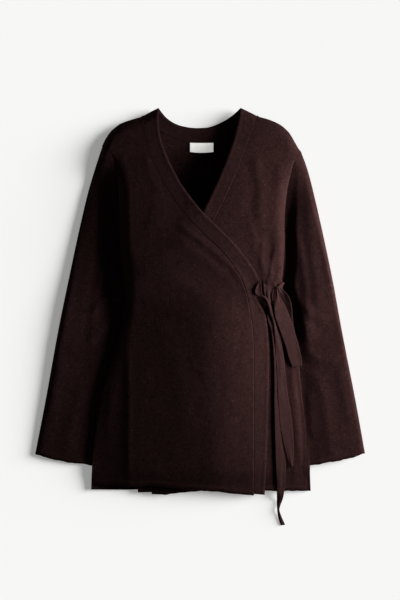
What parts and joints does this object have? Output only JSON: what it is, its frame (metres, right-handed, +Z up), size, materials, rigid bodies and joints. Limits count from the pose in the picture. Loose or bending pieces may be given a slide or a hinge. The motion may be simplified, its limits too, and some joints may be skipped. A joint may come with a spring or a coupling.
{
  "type": "wrap cardigan laid flat, tied at one side",
  "caption": "Long-sleeved wrap cardigan in felted wool knit, laid flat, its right front tied over the left at the waist with a ribbon bow.",
  "frame": {"origin": "on the surface that the garment lies on, below the middle of its outline", "axes": "+Z up off the surface, towards the front of the garment; +Y from the hem towards the neck; +X towards the wearer's left"},
  "size_m": [0.6252, 0.7916, 0.046],
  "materials": {
    "wool_knit": "felted wool knit, dark oxblood brown with fine lighter flecks",
    "wool_band": "firm felted knit edge band, same wool",
    "tie_ribbon": "smooth fine-gauge knit ribbon, a shade lighter",
    "label": "plain white satin label, bare"
  },
  "bodies": {
    "root": {"back_panel": "wool_knit", "right_front": "wool_knit", "left_front": "wool_knit", "right_front_band": "wool_band", "left_front_band": "wool_band", "back_neck_band": "wool_band", "right_sleeve": "wool_knit", "left_sleeve": "wool_knit", "neck_label": "label", "front_tie": "tie_ribbon", "side_tie": "tie_ribbon", "tie_knot": "tie_ribbon", "tie_loop": "tie_ribbon", "tie_tail_long": "tie_ribbon", "tie_tail_short": "tie_ribbon"}
  },
  "joints": []
}
